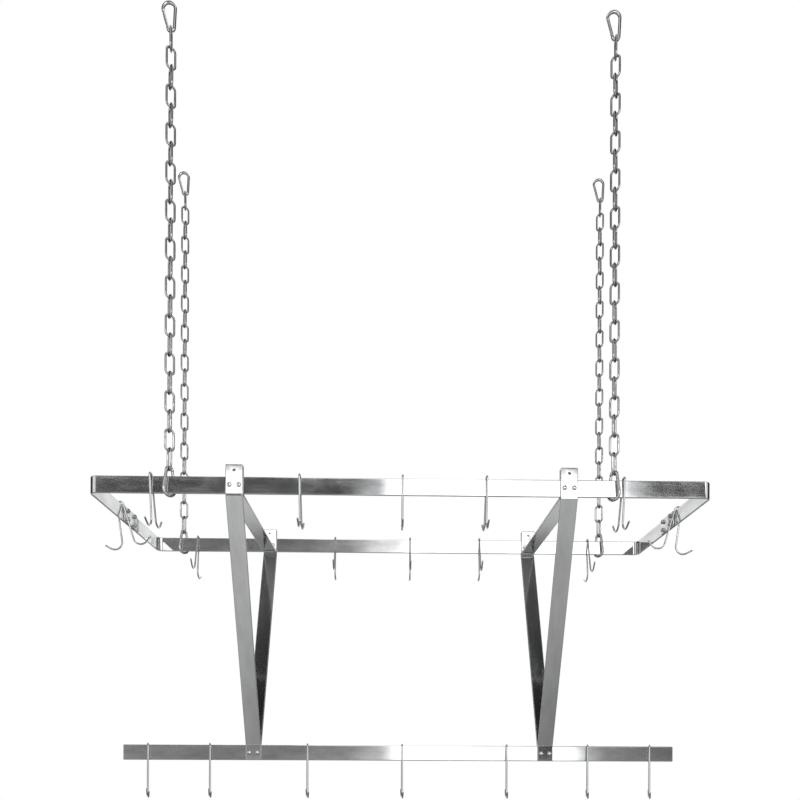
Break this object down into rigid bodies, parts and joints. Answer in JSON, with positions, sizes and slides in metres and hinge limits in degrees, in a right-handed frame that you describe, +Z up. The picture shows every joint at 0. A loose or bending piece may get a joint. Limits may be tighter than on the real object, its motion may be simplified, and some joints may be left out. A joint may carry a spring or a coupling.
{
  "type": "hanging pot rack",
  "caption": "Ceiling-hung pot rack: flat-bar ring on chains with snap hooks, triangular braces, a low centre rail, and double pot hooks that slide along the bars.",
  "frame": {"origin": "centre of the four points where the top snap hooks bear on their ceiling hooks, at z = 0; the whole rack hangs below it", "axes": "+X along the rack to its right, +Y from the front rail to the back rail, +Z up"},
  "size_m": [1.9268, 0.7078, 2.3438],
  "materials": {
    "bar": "brushed along the bar, bright",
    "bolt": "polished",
    "nut": "bright plated",
    "snap": "bright plated",
    "gate": "bright plated",
    "chain": "bright plated",
    "hook": "polished"
  },
  "bodies": {
    "hangers": {"snap_top_lf": "snap", "snap_top_rf": "snap", "snap_top_lb": "snap", "snap_top_rb": "snap"},
    "top_gate_lf": {"gate_top_lf": "gate"},
    "top_link_lf": {"link_top_lf": "chain"},
    "chain_lf": {"chain_lf_run": "chain"},
    "low_link_lf": {"link_low_lf": "chain"},
    "top_gate_rf": {"gate_top_rf": "gate"},
    "top_link_rf": {"link_top_rf": "chain"},
    "chain_rf": {"chain_rf_run": "chain"},
    "low_link_rf": {"link_low_rf": "chain"},
    "top_gate_lb": {"gate_top_lb": "gate"},
    "top_link_lb": {"link_top_lb": "chain"},
    "chain_lb": {"chain_lb_run": "chain"},
    "low_link_lb": {"link_low_lb": "chain"},
    "top_gate_rb": {"gate_top_rb": "gate"},
    "top_link_rb": {"link_top_rb": "chain"},
    "chain_rb": {"chain_rb_run": "chain"},
    "low_link_rb": {"link_low_rb": "chain"},
    "rack": {"frame_front_half": "bar", "frame_back_half": "bar", "splice_plates": "bar", "leg_front_left": "bar", "leg_front_right": "bar", "leg_back_left": "bar", "leg_back_right": "bar", "cross_bar_left": "bar", "cross_bar_right": "bar", "bottom_rail": "bar", "bolts": "bolt", "nuts": "nut", "snap_low_lf": "snap", "snap_low_rf": "snap", "snap_low_lb": "snap", "snap_low_rb": "snap"},
    "low_gate_lf": {"gate_low_lf": "gate"},
    "low_gate_rf": {"gate_low_rf": "gate"},
    "low_gate_lb": {"gate_low_lb": "gate"},
    "low_gate_rb": {"gate_low_rb": "gate"},
    "hook_front_1": {"hook_front_1": "hook"},
    "hook_front_2": {"hook_front_2": "hook"},
    "hook_front_3": {"hook_front_3": "hook"},
    "hook_front_4": {"hook_front_4": "hook"},
    "hook_front_5": {"hook_front_5": "hook"},
    "hook_back_1": {"hook_back_1": "hook"},
    "hook_back_2": {"hook_back_2": "hook"},
    "hook_back_3": {"hook_back_3": "hook"},
    "hook_back_4": {"hook_back_4": "hook"},
    "hook_back_5": {"hook_back_5": "hook"},
    "hook_low_1": {"hook_low_1": "hook"},
    "hook_low_2": {"hook_low_2": "hook"},
    "hook_low_3": {"hook_low_3": "hook"},
    "hook_low_4": {"hook_low_4": "hook"},
    "hook_low_5": {"hook_low_5": "hook"},
    "hook_low_6": {"hook_low_6": "hook"},
    "hook_low_7": {"hook_low_7": "hook"},
    "hook_end_left": {"hook_end_left": "hook"},
    "hook_end_right": {"hook_end_right": "hook"}
  },
  "joints": [
    {"name": "fore_swing_lf", "type": "hinge", "parent": "hangers", "child": "top_link_lf", "pos_m": [-0.68, -0.30183, -0.07355], "axis": [1, 0, 0], "range_deg": [-8, 8]},
    {"name": "side_swing_lf", "type": "hinge", "parent": "top_link_lf", "child": "chain_lf", "pos_m": [-0.68, -0.30183, -0.1293], "axis": [0, 1, 0], "range_deg": [-8, 8]},
    {"name": "side_return_lf", "type": "hinge", "parent": "chain_lf", "child": "low_link_lf", "pos_m": [-0.68, -0.30183, -1.30005], "axis": [0, 1, 0], "range_deg": [-8, 8]},
    {"name": "rack_level", "type": "hinge", "parent": "low_link_lf", "child": "rack", "pos_m": [-0.68, -0.30183, -1.3558], "axis": [1, 0, 0], "range_deg": [-8, 8]},
    {"name": "fore_swing_rf", "type": "hinge", "parent": "hangers", "child": "top_link_rf", "pos_m": [0.624, -0.30183, -0.07355], "axis": [1, 0, 0], "range_deg": [-8, 8]},
    {"name": "side_swing_rf", "type": "hinge", "parent": "top_link_rf", "child": "chain_rf", "pos_m": [0.624, -0.30183, -0.1293], "axis": [0, 1, 0], "range_deg": [-8, 8]},
    {"name": "side_return_rf", "type": "hinge", "parent": "chain_rf", "child": "low_link_rf", "pos_m": [0.624, -0.30183, -1.30005], "axis": [0, 1, 0], "range_deg": [-8, 8]},
    {"name": "fore_swing_lb", "type": "hinge", "parent": "hangers", "child": "top_link_lb", "pos_m": [-0.815, 0.30183, -0.07355], "axis": [1, 0, 0], "range_deg": [-8, 8]},
    {"name": "side_swing_lb", "type": "hinge", "parent": "top_link_lb", "child": "chain_lb", "pos_m": [-0.815, 0.30183, -0.1293], "axis": [0, 1, 0], "range_deg": [-8, 8]},
    {"name": "side_return_lb", "type": "hinge", "parent": "chain_lb", "child": "low_link_lb", "pos_m": [-0.815, 0.30183, -1.30005], "axis": [0, 1, 0], "range_deg": [-8, 8]},
    {"name": "fore_swing_rb", "type": "hinge", "parent": "hangers", "child": "top_link_rb", "pos_m": [0.762, 0.30183, -0.07355], "axis": [1, 0, 0], "range_deg": [-8, 8]},
    {"name": "side_swing_rb", "type": "hinge", "parent": "top_link_rb", "child": "chain_rb", "pos_m": [0.762, 0.30183, -0.1293], "axis": [0, 1, 0], "range_deg": [-8, 8]},
    {"name": "side_return_rb", "type": "hinge", "parent": "chain_rb", "child": "low_link_rb", "pos_m": [0.762, 0.30183, -1.30005], "axis": [0, 1, 0], "range_deg": [-8, 8]},
    {"name": "top_gate_lf_hinge", "type": "hinge", "parent": "hangers", "child": "top_gate_lf", "pos_m": [-0.69149, -0.30183, -0.06242], "axis": [0, 1, 0], "range_deg": [0, 30], "stiffness_Nm_per_rad": 0.05, "springref_deg": -20.05},
    {"name": "top_gate_rf_hinge", "type": "hinge", "parent": "hangers", "child": "top_gate_rf", "pos_m": [0.61252, -0.30183, -0.06242], "axis": [0, 1, 0], "range_deg": [0, 30], "stiffness_Nm_per_rad": 0.05, "springref_deg": -20.05},
    {"name": "top_gate_lb_hinge", "type": "hinge", "parent": "hangers", "child": "top_gate_lb", "pos_m": [-0.82649, 0.30183, -0.06242], "axis": [0, 1, 0], "range_deg": [0, 30], "stiffness_Nm_per_rad": 0.05, "springref_deg": -20.05},
    {"name": "top_gate_rb_hinge", "type": "hinge", "parent": "hangers", "child": "top_gate_rb", "pos_m": [0.75052, 0.30183, -0.06242], "axis": [0, 1, 0], "range_deg": [0, 30], "stiffness_Nm_per_rad": 0.05, "springref_deg": -20.05},
    {"name": "low_gate_lf_hinge", "type": "hinge", "parent": "rack", "child": "low_gate_lf", "pos_m": [-0.6728, -0.29382, -1.36808], "axis": [-0.7431, 0.6691, 0], "range_deg": [0, 8], "stiffness_Nm_per_rad": 0.05, "springref_deg": -20.05},
    {"name": "low_gate_rf_hinge", "type": "hinge", "parent": "rack", "child": "low_gate_rf", "pos_m": [0.6168, -0.29382, -1.36808], "axis": [-0.7431, -0.6691, 0], "range_deg": [0, 8], "stiffness_Nm_per_rad": 0.05, "springref_deg": -20.05},
    {"name": "low_gate_lb_hinge", "type": "hinge", "parent": "rack", "child": "low_gate_lb", "pos_m": [-0.8078, 0.30983, -1.36808], "axis": [-0.7431, 0.6691, 0], "range_deg": [0, 8], "stiffness_Nm_per_rad": 0.05, "springref_deg": -20.05},
    {"name": "low_gate_rb_hinge", "type": "hinge", "parent": "rack", "child": "low_gate_rb", "pos_m": [0.7548, 0.30983, -1.36808], "axis": [-0.7431, -0.6691, 0], "range_deg": [0, 8], "stiffness_Nm_per_rad": 0.05, "springref_deg": -20.05},
    {"name": "hook_front_1_slide", "type": "slide", "parent": "rack", "child": "hook_front_1", "axis": [1, 0, 0], "range_m": [-0.147, 0.028]},
    {"name": "hook_front_2_slide", "type": "slide", "parent": "rack", "child": "hook_front_2", "axis": [1, 0, 0], "range_m": [-0.16, 0.146]},
    {"name": "hook_front_3_slide", "type": "slide", "parent": "rack", "child": "hook_front_3", "axis": [1, 0, 0], "range_m": [-0.147, 0.119]},
    {"name": "hook_front_4_slide", "type": "slide", "parent": "rack", "child": "hook_front_4", "axis": [1, 0, 0], "range_m": [-0.12, 0.212]},
    {"name": "hook_front_5_slide", "type": "slide", "parent": "rack", "child": "hook_front_5", "axis": [1, 0, 0], "range_m": [-0.005, 0.233]},
    {"name": "hook_back_1_slide", "type": "slide", "parent": "rack", "child": "hook_back_1", "axis": [1, 0, 0], "range_m": [-0.028, 0.242]},
    {"name": "hook_back_2_slide", "type": "slide", "parent": "rack", "child": "hook_back_2", "axis": [1, 0, 0], "range_m": [-0.217, 0.138]},
    {"name": "hook_back_3_slide", "type": "slide", "parent": "rack", "child": "hook_back_3", "axis": [1, 0, 0], "range_m": [-0.138, 0.127]},
    {"name": "hook_back_4_slide", "type": "slide", "parent": "rack", "child": "hook_back_4", "axis": [1, 0, 0], "range_m": [-0.129, 0.155]},
    {"name": "hook_back_5_slide", "type": "slide", "parent": "rack", "child": "hook_back_5", "axis": [1, 0, 0], "range_m": [-0.199, 0.019]},
    {"name": "hook_low_1_slide", "type": "slide", "parent": "rack", "child": "hook_low_1", "axis": [1, 0, 0], "range_m": [-0.069, 0.097]},
    {"name": "hook_low_2_slide", "type": "slide", "parent": "rack", "child": "hook_low_2", "axis": [1, 0, 0], "range_m": [-0.098, 0.112]},
    {"name": "hook_low_3_slide", "type": "slide", "parent": "rack", "child": "hook_low_3", "axis": [1, 0, 0], "range_m": [-0.148, 0.153]},
    {"name": "hook_low_4_slide", "type": "slide", "parent": "rack", "child": "hook_low_4", "axis": [1, 0, 0], "range_m": [-0.153, 0.171]},
    {"name": "hook_low_5_slide", "type": "slide", "parent": "rack", "child": "hook_low_5", "axis": [1, 0, 0], "range_m": [-0.17, 0.097]},
    {"name": "hook_low_6_slide", "type": "slide", "parent": "rack", "child": "hook_low_6", "axis": [1, 0, 0], "range_m": [-0.111, 0.099]},
    {"name": "hook_low_7_slide", "type": "slide", "parent": "rack", "child": "hook_low_7", "axis": [1, 0, 0], "range_m": [-0.1, 0.066]},
    {"name": "hook_end_left_slide", "type": "slide", "parent": "rack", "child": "hook_end_left", "axis": [0, 1, 0], "range_m": [-0.2, 0.004]},
    {"name": "hook_end_right_slide", "type": "slide", "parent": "rack", "child": "hook_end_right", "axis": [0, 1, 0], "range_m": [-0.2, 0.004]}
  ],
  "couplings": [
    {"joint": "rack_level", "follows": "fore_swing_lf", "ratio": -1},
    {"joint": "side_return_lf", "follows": "side_swing_lf", "ratio": -1},
    {"joint": "fore_swing_rf", "follows": "fore_swing_lf", "ratio": 1},
    {"joint": "side_swing_rf", "follows": "side_swing_lf", "ratio": 1},
    {"joint": "side_return_rf", "follows": "side_swing_lf", "ratio": -1},
    {"joint": "fore_swing_lb", "follows": "fore_swing_lf", "ratio": 1},
    {"joint": "side_swing_lb", "follows": "side_swing_lf", "ratio": 1},
    {"joint": "side_return_lb", "follows": "side_swing_lf", "ratio": -1},
    {"joint": "fore_swing_rb", "follows": "fore_swing_lf", "ratio": 1},
    {"joint": "side_swing_rb", "follows": "side_swing_lf", "ratio": 1},
    {"joint": "side_return_rb", "follows": "side_swing_lf", "ratio": -1}
  ]
}
